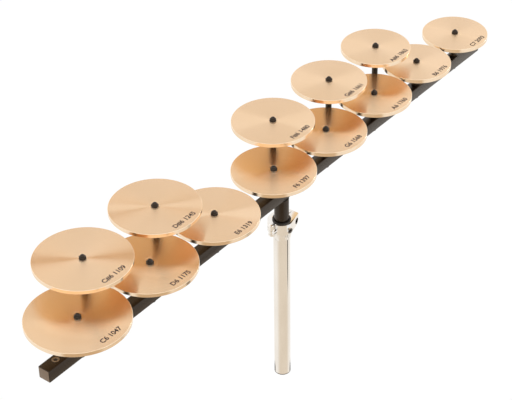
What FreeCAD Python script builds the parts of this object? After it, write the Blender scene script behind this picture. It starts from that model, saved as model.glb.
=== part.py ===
import FreeCAD, Part
import math
import os

os.makedirs("parts", exist_ok=True)

Vec = FreeCAD.Vector
up = Vec(0, 0, 1)

# All lengths are in millimetres. Zero is on the tube's axis, at the lower end of its straight wall.
# The bar runs along X towards the high notes, the raised row stands behind it at +Y.

# The scale: note name, semitones above the low C, place along X, diameter.
lower_row = [
    ("c", 0, -435.0, 143.5),
    ("d", 2, -292.0, 134.0),
    ("e", 4, -154.5, 130.2),
    ("f", 5, -18.3, 126.0),
    ("g", 7, 110.2, 124.0),
    ("a", 9, 236.5, 116.6),
    ("b", 11, 354.0, 109.4),
    ("c_high", 12, 466.3, 106.1),
]
raised_row = [
    ("c_sharp", 1, -372.0, 137.4),
    ("d_sharp", 3, -226.0, 130.6),
    ("f_sharp", 6, 40.0, 124.4),
    ("g_sharp", 8, 180.0, 116.8),
    ("a_sharp", 10, 304.4, 109.6),
]
lowest_pitch_hz = 1046.5
plate_constant = 912.4          # bending stiffness of bronze in the free-plate formula, m/s
raised_row_y = 46.0

# Heights.
disc_underside_z = 394.5
raised_row_lift = 36.0
bar_bottom_z = 340.3
clamp_top_z = 299.5
clamp_bottom_z = 281.5
skirt_bottom_z = 268.0

# Bar.
bar_side = 19.05
bar_low_end_x = -503.8
bar_high_end_x = 529.7
bar_edge_break = 0.9
bar_end_break = 1.4
insert_x = -481.0

# Discs.
disc_bore_r = 3.05
disc_edge_break = 0.4
boss_r = 11.0
boss_height = 2.5

# Threads are plain cylinders at their outside size.
stud_r = 3.0
stud_below_bar = 8.0
play = 0.05
felt_thickness = 1.5
top_washer_thickness = 0.5
cap_nut_flats = 9.5
cap_nut_height = 5.8
cap_nut_bore_depth = 3.4
stud_in_nut = 3.0

# Raised posts.
post_r = 4.75
post_bend_r = 16.0
post_thread_r = 3.95
post_thread_depth = 11.0
lock_nut_thickness = 5.5

# Mast and tube.
mast_r = 11.1
mast_wall = 1.5
mast_bottom_z = 150.0
tube_r = 12.7
tube_wall = 1.25
tube_lip = 1.0
tube_spigot_r = 12.45
thrust_washer_thickness = 0.8

# Clamp.
socket_r = 21.3
jaw_r = 17.5
clamp_bore_r = 12.6
parting_half_gap = 0.4
hinge_x = -21.0
hinge_y = 2.5
knuckle_r = 4.8
hinge_pin_r = 2.5
lug_end_x = 27.6
lug_front_y = -10.6
lug_back_y = 5.1
clamp_screw_x = 20.9
clamp_screw_z = 289.3
clamp_screw_r = 3.0
bush_flange_r = 14.2
bush_flange_thickness = 1.6


def cylinder(r, z0, z1, x=0.0, y=0.0):
    return Part.makeCylinder(r, z1 - z0, Vec(x, y, z0), up)


def ring(outer_r, inner_r, z0, z1, x=0.0, y=0.0):
    return cylinder(outer_r, z0, z1, x, y).cut(cylinder(inner_r, z0 - 1, z1 + 1, x, y))


def box(x0, x1, y0, y1, z0, z1):
    return Part.makeBox(x1 - x0, y1 - y0, z1 - z0, Vec(x0, y0, z0))


def turned(points):
    # A solid of revolution about Z from (radius, height) points.
    outline = Part.makePolygon([Vec(r, 0, z) for r, z in points + points[:1]])
    return Part.Face(outline).revolve(Vec(0, 0, 0), up, 360)


def prism(points, z0, z1):
    outline = Part.makePolygon([Vec(x, y, z0) for x, y in points + points[:1]])
    return Part.Face(outline).extrude(Vec(0, 0, z1 - z0))


def hexagon(across_flats, z0, z1, turn_deg=0.0):
    corner_r = across_flats / math.sqrt(3)
    angles = [math.radians(turn_deg + 60 * i) for i in range(6)]
    return prism([(corner_r * math.cos(t), corner_r * math.sin(t)) for t in angles], z0, z1)


def hex_nut(across_flats, thickness, bore_r, turn_deg=0.0):
    # The corners are broken at both faces, as on a turned nut.
    corner_r = across_flats / math.sqrt(3)
    face_r = across_flats * 0.475
    slope = (corner_r - face_r) * 0.6
    envelope = turned([(bore_r, 0), (face_r, 0), (corner_r, slope), (corner_r, thickness - slope),
                       (face_r, thickness), (bore_r, thickness)])
    return hexagon(across_flats, 0, thickness, turn_deg).common(envelope)


def plate_thickness(diameter, semitones):
    # A free round plate sounds higher when it is thicker and lower when it is wider.
    pitch = lowest_pitch_hz * 2 ** (semitones / 12)
    return 1000 * pitch * (diameter / 2000) ** 2 / plate_constant


def stations():
    # One entry for each disc: name, x, y, underside height, diameter, thickness.
    out = []
    for name, semitones, x, diameter in lower_row:
        out.append((name, x, 0.0, disc_underside_z, diameter, plate_thickness(diameter, semitones)))
    for name, semitones, x, diameter in raised_row:
        out.append((name, x, raised_row_y, disc_underside_z + raised_row_lift, diameter,
                    plate_thickness(diameter, semitones)))
    return out


def crotale(x, y, underside_z, diameter, thickness):
    r = diameter / 2
    c = disc_edge_break
    disc = turned([
        (disc_bore_r, -boss_height), (boss_r - 1, -boss_height), (boss_r, -boss_height + 1), (boss_r, -1),
        (boss_r + 1, 0), (r - c, 0), (r, c), (r, thickness - c), (r - c, thickness),
        (disc_bore_r + 0.4, thickness), (disc_bore_r, thickness - 0.4)])
    disc.translate(Vec(x, y, underside_z))
    return disc


def cap_nut(turn_deg):
    # A low hexagon with a dome on it, and a blind threaded hole from below.
    dome_r = 3.95
    shoulder = 2.4
    rise = cap_nut_height - shoulder
    ball_r = (dome_r ** 2 + rise ** 2) / (2 * rise)
    half = math.asin(dome_r / ball_r)
    mid = Vec(ball_r * math.sin(half / 2), 0, cap_nut_height - ball_r + ball_r * math.cos(half / 2))
    edges = Part.makePolygon([Vec(0, 0, cap_nut_height), Vec(0, 0, 0), Vec(4.6, 0, 0), Vec(5.5, 0, 0.45),
                              Vec(5.5, 0, 1.7), Vec(dome_r, 0, shoulder)]).Edges
    dome = Part.Arc(Vec(dome_r, 0, shoulder), mid, Vec(0, 0, cap_nut_height)).toShape()
    envelope = Part.Face(Part.Wire(edges + [dome])).revolve(Vec(0, 0, 0), up, 360)
    nut = hexagon(cap_nut_flats, 0, cap_nut_height, turn_deg).common(envelope)
    return nut.cut(cylinder(stud_r + 0.03, -1, cap_nut_bore_depth))


def cap_nuts():
    solids = []
    for i, (name, x, y, z, diameter, thickness) in enumerate(stations()):
        nut = cap_nut(17 + 23 * i)
        nut.translate(Vec(x, y, z + thickness + play + top_washer_thickness))
        solids.append(nut)
    return Part.makeCompound(solids)


def top_washers():
    solids = []
    for name, x, y, z, diameter, thickness in stations():
        z0 = z + thickness + play
        solids.append(ring(5.2, stud_r + 0.1, z0, z0 + top_washer_thickness, x, y))
    return Part.makeCompound(solids)


def felt_washers():
    solids = []
    for name, x, y, z, diameter, thickness in stations():
        z1 = z - boss_height - play
        solids.append(ring(8.0, stud_r + 0.1, z1 - felt_thickness, z1, x, y))
    return Part.makeCompound(solids)


def rest_height(underside_z):
    # Where the felt washer sits.
    return underside_z - boss_height - play - felt_thickness


def stud_top(underside_z, thickness):
    return underside_z + thickness + play + top_washer_thickness + stud_in_nut


def studs():
    solids = []
    for name, semitones, x, diameter in lower_row:
        top = stud_top(disc_underside_z, plate_thickness(diameter, semitones))
        stud = turned([(0, bar_bottom_z - stud_below_bar), (stud_r - 0.5, bar_bottom_z - stud_below_bar),
                       (stud_r, bar_bottom_z - stud_below_bar + 0.5), (stud_r, top - 0.5), (stud_r - 0.5, top),
                       (0, top)])
        stud.translate(Vec(x, 0, 0))
        solids.append(stud)
    return Part.makeCompound(solids)


def spacer_sleeves():
    # A turned tube with a wider seat for the felt and a small foot on the bar.
    z0 = bar_bottom_z + bar_side
    z1 = rest_height(disc_underside_z)
    solids = []
    for name, semitones, x, diameter in lower_row:
        sleeve = turned([(stud_r + 0.06, z0), (7.0, z0), (7.0, z0 + 1.5), (5.5, z0 + 3.0), (5.5, z1 - 4.0),
                         (8.0, z1 - 2.0), (8.0, z1), (stud_r + 0.06, z1)])
        sleeve.translate(Vec(x, 0, 0))
        solids.append(sleeve)
    return Part.makeCompound(solids)


def bar_washers():
    rings = [ring(6.3, stud_r + 0.2, bar_bottom_z - 1.0, bar_bottom_z, x) for name, n, x, d in lower_row]
    return Part.makeCompound(rings)


def bar_nuts():
    solids = []
    for i, (name, semitones, x, diameter) in enumerate(lower_row):
        nut = hex_nut(cap_nut_flats, 5.2, stud_r + 0.03, 11 + 31 * i)
        nut.translate(Vec(x, 0, bar_bottom_z - 6.2))
        solids.append(nut)
    return Part.makeCompound(solids)


def bar():
    half = bar_side / 2
    z0 = bar_bottom_z
    z1 = z0 + bar_side
    solid = box(bar_low_end_x, bar_high_end_x, -half, half, z0, z1)
    long_edges = [e for e in solid.Edges if e.Length > 500]
    solid = solid.makeChamfer(bar_edge_break, long_edges)
    ends = [e for e in solid.Edges if e.BoundBox.XLength < 0.01]
    solid = solid.makeChamfer(bar_end_break / 2, ends)
    for name, semitones, x, diameter in lower_row:
        solid = solid.cut(cylinder(stud_r + 0.06, z0 - 1, z1 + 1, x))
    for name, semitones, x, diameter in raised_row:
        hole = Part.makeCylinder(post_thread_r + 0.03, post_thread_depth + 1,
                                 Vec(x, half + 1, z0 + half), Vec(0, -1, 0))
        solid = solid.cut(hole)
    solid = solid.cut(cylinder(4.05, z0 - 1, z1 + 1))
    solid = solid.cut(cylinder(3.82, z0 - 1, z1 + 1, insert_x))
    return solid


def bar_insert():
    # A flanged threaded sleeve right through the bar. A screw enters from below, where no disc covers it.
    z0 = bar_bottom_z
    z1 = z0 + bar_side
    insert = turned([(2.5, z0), (3.8, z0), (3.8, z1), (5.3, z1), (5.3, z1 + 0.5), (4.9, z1 + 0.9),
                     (3.2, z1 + 0.9), (2.5, z1 + 0.2)])
    insert.translate(Vec(insert_x, 0, 0))
    return insert


def post(x, top_z):
    # A rod screwed into the back of the bar, bent upright, with a turned stud at its top.
    half = bar_side / 2
    zc = bar_bottom_z + half
    shoulder = rest_height(disc_underside_z + raised_row_lift)
    start_y = half + lock_nut_thickness + 0.2
    b = post_bend_r
    p1 = Vec(x, start_y, zc)
    p2 = Vec(x, raised_row_y - b, zc)
    p3 = Vec(x, raised_row_y - b * (1 - math.sin(math.pi / 4)), zc + b * (1 - math.cos(math.pi / 4)))
    p4 = Vec(x, raised_row_y, zc + b)
    p5 = Vec(x, raised_row_y, shoulder)
    path = Part.Wire([Part.makeLine(p1, p2), Part.Arc(p2, p3, p4).toShape(), Part.makeLine(p4, p5)])
    section = Part.Wire([Part.makeCircle(post_r, p1, Vec(0, 1, 0))])
    rod = path.makePipeShell([section], True, True)
    thread = Part.makeCylinder(post_thread_r, start_y + 0.5 - (half - post_thread_depth + 0.4),
                               Vec(x, half - post_thread_depth + 0.4, zc), Vec(0, 1, 0))
    stud = turned([(0, shoulder - 1), (stud_r, shoulder - 1), (stud_r, top_z - 0.5), (stud_r - 0.5, top_z),
                   (0, top_z)])
    stud.translate(Vec(x, raised_row_y, 0))
    return rod.fuse(thread).fuse(stud).removeSplitter()


def posts():
    solids = []
    for name, semitones, x, diameter in raised_row:
        top = stud_top(disc_underside_z + raised_row_lift, plate_thickness(diameter, semitones))
        solids.append(post(x, top).Solids[0])
    return Part.makeCompound(solids)


def post_lock_nuts():
    solids = []
    for i, (name, semitones, x, diameter) in enumerate(raised_row):
        nut = hex_nut(13.0, lock_nut_thickness, post_thread_r + 0.03, 9 + 19 * i)
        nut.rotate(Vec(0, 0, 0), Vec(1, 0, 0), -90)
        nut.translate(Vec(x, bar_side / 2, bar_bottom_z + bar_side / 2))
        solids.append(nut)
    return Part.makeCompound(solids)


def mast():
    top = bar_bottom_z - thrust_washer_thickness - 0.1
    inner = mast_r - mast_wall
    return turned([(inner, mast_bottom_z), (mast_r - 0.5, mast_bottom_z), (mast_r, mast_bottom_z + 0.5),
                   (mast_r, top - 0.6), (mast_r - 0.6, top), (inner, top)])


def mast_plug():
    # The threaded plug that closes the mast's top.
    top = bar_bottom_z - thrust_washer_thickness - 0.1
    return ring(mast_r - mast_wall - 0.02, 4.02, top - 24, top)


def thrust_washer():
    z0 = bar_bottom_z - thrust_washer_thickness - 0.1
    return ring(9.4, 4.3, z0, z0 + thrust_washer_thickness)


def mast_screw():
    # Hexagon head above the bar, shank through the bar into the plug.
    head_z = bar_bottom_z + bar_side + 1.3
    head = hex_nut(13.0, 5.3, 0.01, 20)
    head.translate(Vec(0, 0, head_z))
    shank = turned([(0, bar_bottom_z - 20), (3.4, bar_bottom_z - 20), (4.0, bar_bottom_z - 19.4),
                    (4.0, head_z + 1), (0, head_z + 1)])
    return head.fuse(shank).fuse(cylinder(1.0, head_z, head_z + 5.3)).removeSplitter()


def screw_washer():
    z0 = bar_bottom_z + bar_side + 0.05
    return ring(8.0, 4.2, z0, z0 + 1.2)


def guide_collar():
    # Keeps the mast's lower end in line inside the tube.
    z = mast_bottom_z
    r = tube_r - tube_wall - 0.05
    inner = mast_r - mast_wall - 0.02
    return turned([(8.0, z - 8), (r - 0.6, z - 8), (r, z - 7.4), (r, z - 0.05), (inner, z - 0.05),
                   (inner, z + 12), (8.0, z + 12)])


def tube():
    # The top is turned down to a spigot, and the clamp's skirt rests on its shoulder.
    inner = tube_r - tube_wall
    wall = ring(tube_r, inner, 0, skirt_bottom_z)
    spigot = ring(tube_spigot_r, inner, skirt_bottom_z, clamp_bottom_z + 1.0)
    lip = ring(tube_r, inner, -tube_lip, 0)
    outer_rim = [e for e in lip.Edges
                 if abs(e.BoundBox.ZMax + tube_lip) < 0.01 and e.BoundBox.XLength > 2 * tube_r - 0.1]
    lip = lip.makeFillet(tube_lip * 0.9, outer_rim)
    return wall.fuse(spigot).fuse(lip)


def end_plug():
    r = tube_r - tube_wall - 0.02
    return turned([(0, -0.4), (4.0, -0.4), (4.4, 0), (r - 0.8, 0), (r, 0.8), (r, 14), (r - 2, 14), (r - 2, 3),
                   (0, 3)])


def lug_outline(z0, z1, y0, y1):
    # The lug seen from the front: square at the top, rounded at its lower outer corner.
    r = 9.0
    a = Vec(0, y0, z0)
    b = Vec(lug_end_x - r, y0, z0)
    c = Vec(lug_end_x - r + r * math.sin(math.pi / 4), y0, z0 + r - r * math.cos(math.pi / 4))
    d = Vec(lug_end_x, y0, z0 + r)
    e = Vec(lug_end_x, y0, z1)
    f = Vec(0, y0, z1)
    wire = Part.Wire([Part.makeLine(a, b), Part.Arc(b, c, d).toShape(), Part.makeLine(d, e),
                      Part.makeLine(e, f), Part.makeLine(f, a)])
    return Part.Face(wire).extrude(Vec(0, y1 - y0, 0))


def tangent_point(r, px, py, side):
    # Where a line from (px, py) touches the circle of radius r about the axis.
    reach = math.hypot(px, py)
    t = math.atan2(py, px) + side * math.acos(r / reach)
    return (r * math.cos(t), r * math.sin(t))


def knuckle(z0, z1):
    return cylinder(knuckle_r, z0, z1, hinge_x, hinge_y)


knuckle_split_high = clamp_top_z - 7.8
knuckle_split_low = clamp_bottom_z + 3.4
knuckle_gap = 0.3


def clamp_socket():
    z0 = clamp_bottom_z
    z1 = clamp_top_z
    g = parting_half_gap
    wall = cylinder(socket_r, z0, z1)
    tip = tangent_point(socket_r, lug_end_x, lug_back_y, 1)
    lug = prism([(0, g), (lug_end_x, g), (lug_end_x, lug_back_y), tip, (0, socket_r)], z0, z1)
    lug = lug.common(lug_outline(z0, z1, 0, 30))
    half = wall.fuse(lug).common(box(-40, 40, g, 40, z0 - 1, z1 + 1))
    half = half.cut(cylinder(knuckle_r + 0.4, knuckle_split_low, knuckle_split_high, hinge_x, hinge_y))
    for low, high in ((knuckle_split_high, z1), (z0, knuckle_split_low)):
        web = box(hinge_x - 3.5, hinge_x + 6, g, hinge_y + 4, low, high)
        half = half.fuse(knuckle(low, high)).fuse(web)
    seat_r = tube_spigot_r + 0.02
    skirt = turned([(seat_r, skirt_bottom_z), (tube_r + 0.8, skirt_bottom_z),
                    (tube_r + 1.1, skirt_bottom_z + 0.5), (15.6, z0 - 2.5), (16.4, z0 - 1.2), (16.4, z0),
                    (seat_r, z0)])
    body = half.fuse(skirt)
    body = body.cut(cylinder(clamp_bore_r, z0, z1 + 1))
    body = body.cut(cylinder(seat_r, z0 - 20, z0 + 1.05))
    body = body.cut(cylinder(hinge_pin_r + 0.02, z0 - 1, z1 + 1, hinge_x, hinge_y))
    hole = Part.makeCylinder(clamp_screw_r + 0.2, 20, Vec(clamp_screw_x, -2, clamp_screw_z), Vec(0, 1, 0))
    spot = Part.makeCylinder(6.2, 30, Vec(clamp_screw_x, lug_back_y, clamp_screw_z), Vec(0, 1, 0))
    return body.cut(hole).cut(spot).removeSplitter()


def clamp_jaw():
    z0 = clamp_bottom_z + 0.3
    z1 = clamp_top_z
    g = parting_half_gap
    low = knuckle_split_low + knuckle_gap
    high = knuckle_split_high - knuckle_gap
    wall = cylinder(jaw_r, z0, z1)
    tip = tangent_point(jaw_r, lug_end_x, lug_front_y, -1)
    lug = prism([(0, -g), (0, -jaw_r * 0.9), tip, (lug_end_x, lug_front_y), (lug_end_x, -g)], z0, z1)
    lug = lug.common(lug_outline(z0, z1, -30, 30))
    half = wall.fuse(lug).common(box(-40, 40, -40, -g, z0 - 1, z1 + 1))
    clear = cylinder(knuckle_r + 0.4, z0 - 1, z1 + 1, hinge_x, hinge_y)
    half = half.cut(clear)
    web = box(hinge_x - 3.5, hinge_x + 6, hinge_y - 7, -g, low, high)
    half = half.fuse(web).fuse(knuckle(low, high))
    mouth = Vec(-4.0, -19.2, clamp_top_z - 10.8)
    lean = Vec(0.2, 1, 0)
    boss = Part.makeCylinder(4.6, 6.0, mouth, lean)
    half = half.fuse(boss)
    half = half.cut(cylinder(clamp_bore_r, z0 - 1, z1 + 1))
    half = half.cut(cylinder(hinge_pin_r + play, z0 - 1, z1 + 1, hinge_x, hinge_y))
    hole = Part.makeCylinder(clamp_screw_r + 0.6, 30, Vec(clamp_screw_x, -25, clamp_screw_z), Vec(0, 1, 0))
    spot = Part.makeCylinder(5.0, 30, Vec(clamp_screw_x, -34.9, clamp_screw_z), Vec(0, 1, 0))
    tapped = Part.makeCylinder(2.53, 12, mouth - lean, lean)
    return half.cut(hole).cut(spot).cut(tapped).removeSplitter()


def hinge_pin():
    pin = cylinder(hinge_pin_r, clamp_bottom_z - 0.6, clamp_top_z + 0.5, hinge_x, hinge_y)
    head = turned([(0, clamp_top_z + 0.02), (3.6, clamp_top_z + 0.02), (3.6, clamp_top_z + 0.7),
                   (3.0, clamp_top_z + 1.3), (0, clamp_top_z + 1.3)])
    head.translate(Vec(hinge_x, hinge_y, 0))
    return pin.fuse(head).removeSplitter()


def bush():
    # Split plastic sleeve with a flange, and a tab in the clamp's parting line that stops it turning.
    r = clamp_bore_r - 0.04
    bore = mast_r + play
    z0 = clamp_bottom_z + 1.2
    z1 = clamp_top_z + 0.02
    top = z1 + bush_flange_thickness
    body = turned([(bore, z0), (r, z0), (r, z1), (bush_flange_r, z1), (bush_flange_r, top - 0.4),
                   (bush_flange_r - 0.4, top), (bore + 0.4, top), (bore, top - 0.4)])
    tab = box(-15.8, -12.3, -0.3, 0.3, z0 + 4, z1 + 0.4)
    slot = box(10, 15, -0.3, 0.3, z0 - 1, top + 1)
    return body.fuse(tab).cut(slot).removeSplitter()


def clamp_screw():
    # Socket-head screw, sunk in the jaw's lug.
    floor_y = -4.9
    axis = Vec(0, 1, 0)
    head = Part.makeCylinder(4.2, 5.0, Vec(clamp_screw_x, floor_y - 5.25, clamp_screw_z), axis)
    shank = Part.makeCylinder(clamp_screw_r, 17.0, Vec(clamp_screw_x, floor_y - 1, clamp_screw_z), axis)
    socket = hexagon(4.0, 0, 3.0)
    socket.rotate(Vec(0, 0, 0), Vec(1, 0, 0), -90)
    socket.translate(Vec(clamp_screw_x, floor_y - 5.3, clamp_screw_z))
    return head.fuse(shank).cut(socket).removeSplitter()


def clamp_nut():
    nut = hex_nut(10.0, 5.0, clamp_screw_r + 0.05, 0)
    nut.rotate(Vec(0, 0, 0), Vec(1, 0, 0), -90)
    nut.translate(Vec(clamp_screw_x, lug_back_y + 0.02, clamp_screw_z))
    return nut


def jaw_screw():
    # Grub screw with a hexagon socket in the front of the jaw.
    axis = Vec(0.2, 1, 0)
    axis.normalize()
    mouth = Vec(-4.0, -19.2, clamp_top_z - 10.8)
    body = Part.makeCylinder(2.5, 4.6, mouth + axis * 0.6, axis)
    socket = hexagon(2.6, 0, 2.2)
    socket.rotate(Vec(0, 0, 0), Vec(1, 0, 0), -90)
    socket.rotate(Vec(0, 0, 0), up, -math.degrees(math.atan2(0.2, 1)))
    socket.translate(mouth + axis * 0.5)
    return body.cut(socket)


def nodes():
    out = {}
    for name, x, y, z, diameter, thickness in stations():
        out["crotale_" + name] = crotale(x, y, z, diameter, thickness)
    for make in (cap_nuts, top_washers, felt_washers, spacer_sleeves, studs, bar_washers, bar_nuts, bar,
                 bar_insert, posts, post_lock_nuts, mast, mast_plug, thrust_washer, mast_screw, screw_washer,
                 guide_collar, tube, end_plug, clamp_socket, clamp_jaw, hinge_pin, bush, clamp_screw, clamp_nut,
                 jaw_screw):
        out[make.__name__] = make()
    return out


for node_name, shape in nodes().items():
    shape.exportStep("parts/" + node_name + ".step")
    print(node_name, len(shape.Solids), round(shape.Volume), shape.isValid())
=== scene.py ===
import bpy
import math
from mathutils import Matrix, Vector


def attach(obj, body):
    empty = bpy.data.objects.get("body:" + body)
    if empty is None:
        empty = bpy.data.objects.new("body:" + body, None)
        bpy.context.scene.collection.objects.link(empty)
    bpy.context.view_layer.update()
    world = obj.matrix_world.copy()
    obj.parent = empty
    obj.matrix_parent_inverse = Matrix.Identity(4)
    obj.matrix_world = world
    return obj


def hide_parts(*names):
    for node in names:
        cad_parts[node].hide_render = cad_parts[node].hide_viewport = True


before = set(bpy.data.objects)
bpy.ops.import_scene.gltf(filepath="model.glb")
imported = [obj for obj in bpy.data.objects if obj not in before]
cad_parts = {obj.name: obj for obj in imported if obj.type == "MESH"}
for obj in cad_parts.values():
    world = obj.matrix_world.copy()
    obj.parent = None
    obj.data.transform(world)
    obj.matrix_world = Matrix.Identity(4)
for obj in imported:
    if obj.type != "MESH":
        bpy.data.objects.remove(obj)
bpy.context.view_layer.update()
print("frame loaded:", len(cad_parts), "nodes")

mm = 0.001

# the discs: CAD name, note shown on the face, place along the bar and diameter, in mm
lowerRow = [
    ("c", "C6", -435.0, 143.5), ("d", "D6", -292.0, 134.0), ("e", "E6", -154.5, 130.2),
    ("f", "F6", -18.3, 126.0), ("g", "G6", 110.2, 124.0), ("a", "A6", 236.5, 116.6),
    ("b", "B6", 354.0, 109.4), ("c_high", "C7", 466.3, 106.1)]
raisedRow = [
    ("c_sharp", "C#6", -372.0, 137.4), ("d_sharp", "D#6", -226.0, 130.6), ("f_sharp", "F#6", 40.0, 124.4),
    ("g_sharp", "G#6", 180.0, 116.8), ("a_sharp", "A#6", 304.4, 109.6)]
rack = {"lowerZ": 394.5, "raisedZ": 430.5, "raisedY": 46.0, "barBottom": 340.3, "barSide": 19.05}
barTop = rack["barBottom"] + rack["barSide"]


def deselectAll():
    if bpy.context.object and bpy.context.object.mode != "OBJECT":
        bpy.ops.object.mode_set(mode="OBJECT")
    bpy.ops.object.select_all(action="DESELECT")


def pick(piece):
    deselectAll()
    piece.select_set(True)
    bpy.context.view_layer.objects.active = piece


def rename(piece, name):
    piece.name = name
    piece.data.name = name
    return piece


def tidyShell(piece, angle=35, recalc=True):
    pick(piece)
    bpy.ops.object.mode_set(mode="EDIT")
    bpy.ops.mesh.select_all(action="SELECT")
    bpy.ops.mesh.remove_doubles(threshold=2e-6)
    if recalc:
        bpy.ops.mesh.normals_make_consistent(inside=False)
    bpy.ops.object.mode_set(mode="OBJECT")
    bpy.ops.object.shade_smooth_by_angle(angle=math.radians(angle))
    return piece


def turnPiece(name, profile, steps=96, angle=35):
    # a plane is merged to one point, drawn out along the profile in mm, and spun round Z
    deselectAll()
    bpy.ops.mesh.primitive_plane_add(size=0.01)
    piece = rename(bpy.context.active_object, name)
    bpy.ops.object.mode_set(mode="EDIT")
    bpy.ops.mesh.select_all(action="SELECT")
    bpy.ops.mesh.merge(type="CENTER")
    bpy.ops.mesh.select_all(action="SELECT")
    bpy.ops.transform.translate(value=(profile[0][0] * mm, 0, profile[0][1] * mm))
    for (r0, z0), (r1, z1) in zip(profile, profile[1:]):
        step = ((r1 - r0) * mm, 0, (z1 - z0) * mm)
        bpy.ops.mesh.extrude_region_move(TRANSFORM_OT_translate={"value": step})
    bpy.ops.mesh.select_all(action="SELECT")
    bpy.ops.mesh.spin(steps=steps, angle=2 * math.pi, center=(0, 0, 0), axis=(0, 0, 1))
    return tidyShell(piece, angle)


def corner(r, z, radius, start, steps=4, turn=90):
    # a rounded corner of a profile: the arc about (r, z) from the start angle, in degrees
    angles = [math.radians(start + turn * i / steps) for i in range(steps + 1)]
    return [(r + radius * math.cos(a), z + radius * math.sin(a)) for a in angles]


def placePiece(piece, x=0, y=0, z=0, turn=None):
    # moves a finished piece in mm, then leaves its object at the origin
    pick(piece)
    if turn is not None:
        piece.matrix_world = Matrix.Translation(Vector((x, y, z)) * mm) @ turn
    else:
        piece.location = Vector((x, y, z)) * mm
    bpy.ops.object.transform_apply(location=True, rotation=True, scale=True)
    return piece


def turnAbout(axis, degrees):
    return Matrix.Rotation(math.radians(degrees), 4, axis)


def copyPiece(piece, name):
    other = piece.copy()
    other.data = piece.data.copy()
    bpy.context.scene.collection.objects.link(other)
    return rename(other, name)


def joinPieces(pieces, name):
    deselectAll()
    for piece in pieces:
        piece.select_set(True)
    bpy.context.view_layer.objects.active = pieces[0]
    bpy.ops.object.join()
    return rename(bpy.context.active_object, name)


def repeatPiece(piece, name, places):
    # places are (x, y, z, turn in degrees about Z); one joined piece comes out
    copies = []
    for i, (x, y, z, turn) in enumerate(places):
        copies.append(placePiece(copyPiece(piece, name + str(i)), x, y, z, turnAbout("Z", turn)))
    bpy.data.objects.remove(piece)
    return joinPieces(copies, name)


def cutWith(piece, tool, operation="DIFFERENCE"):
    pick(piece)
    cut = piece.modifiers.new("cut", "BOOLEAN")
    cut.operation = operation
    cut.solver = "EXACT"
    cut.object = tool
    bpy.ops.object.modifier_apply(modifier="cut")
    bpy.data.objects.remove(tool)
    return piece


def breakEdges(piece, width, segments=2, angle=35):
    pick(piece)
    bevel = piece.modifiers.new("bevel", "BEVEL")
    bevel.width = width * mm
    bevel.segments = segments
    bevel.limit_method = "ANGLE"
    bevel.angle_limit = math.radians(angle)
    bpy.ops.object.modifier_apply(modifier="bevel")
    bpy.ops.object.shade_smooth_by_angle(angle=math.radians(angle))
    return piece


def addCylinder(name, radius, depth, x=0, y=0, z=0, sides=64):
    deselectAll()
    bpy.ops.mesh.primitive_cylinder_add(vertices=sides, radius=radius * mm, depth=depth * mm,
                                        location=(x * mm, y * mm, z * mm))
    piece = rename(bpy.context.active_object, name)
    bpy.ops.object.transform_apply(location=True, rotation=True, scale=True)
    return piece


def addBlock(name, centre, size):
    # a box in mm
    deselectAll()
    bpy.ops.mesh.primitive_cube_add(size=1, location=Vector(centre) * mm)
    piece = rename(bpy.context.active_object, name)
    piece.scale = Vector(size) * mm
    bpy.ops.object.transform_apply(location=True, rotation=True, scale=True)
    return piece


def finishPiece(piece, body, slot, material, *nodes):
    piece.data.materials.clear()
    piece.data.materials.append(material)
    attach(piece, body)
    if nodes:
        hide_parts(*nodes)
    return piece


def startMaterial(name):
    material = bpy.data.materials.new(name)
    material.use_nodes = True
    tree = material.node_tree
    return material, tree, tree.nodes["Principled BSDF"]


def addNode(tree, kind, inputs=None, **settings):
    node = tree.nodes.new(kind)
    for key, value in settings.items():
        setattr(node, key, value)
    for key, value in (inputs or {}).items():
        if isinstance(value, bpy.types.NodeSocket):
            tree.links.new(value, node.inputs[key])
        else:
            node.inputs[key].default_value = value
    return node


def objectNoise(tree, scale, detail=3.0, roughness=0.5, stretch=(1, 1, 1)):
    place = addNode(tree, "ShaderNodeTexCoord")
    mapping = addNode(tree, "ShaderNodeMapping", {"Vector": place.outputs["Object"], "Scale": stretch})
    noise = addNode(tree, "ShaderNodeTexNoise", {"Vector": mapping.outputs["Vector"], "Scale": scale,
                                                "Detail": detail, "Roughness": roughness})
    return noise.outputs["Fac"]


def mixColour(tree, factor, a, b):
    node = addNode(tree, "ShaderNodeMix", data_type="RGBA")
    tree.links.new(factor, node.inputs[0])
    for socket, value in ((node.inputs[6], a), (node.inputs[7], b)):
        if isinstance(value, bpy.types.NodeSocket):
            tree.links.new(value, socket)
        else:
            socket.default_value = (*value, 1)
    return node.outputs[2]


def stretchRange(tree, value, low, high, fromLow=0.0, fromHigh=1.0):
    node = addNode(tree, "ShaderNodeMapRange", {"Value": value, "From Min": fromLow, "From Max": fromHigh,
                                               "To Min": low, "To Max": high})
    return node.outputs["Result"]


bronze = {"light": (0.870, 0.640, 0.435), "deep": (0.835, 0.600, 0.385),
          "underPaintedLight": (0.98, 0.71, 0.40), "underPaintedDeep": (0.94, 0.66, 0.36),
          "rimPaintedLow": (0.90, 0.68, 0.46), "rimPaintedHigh": (0.96, 0.79, 0.60),
          "edgeHighlightLow": (0.92, 0.74, 0.52), "edgeHighlightHigh": (0.97, 0.83, 0.64),
          "faceRoughness": (0.21, 0.27), "rimRoughness": (0.13, 0.22), "anisotropy": 1.0,
          "ringMetres": 0.08, "fineRings": 520, "broadRings": 46, "grooveDepth": 0.000012}


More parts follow.
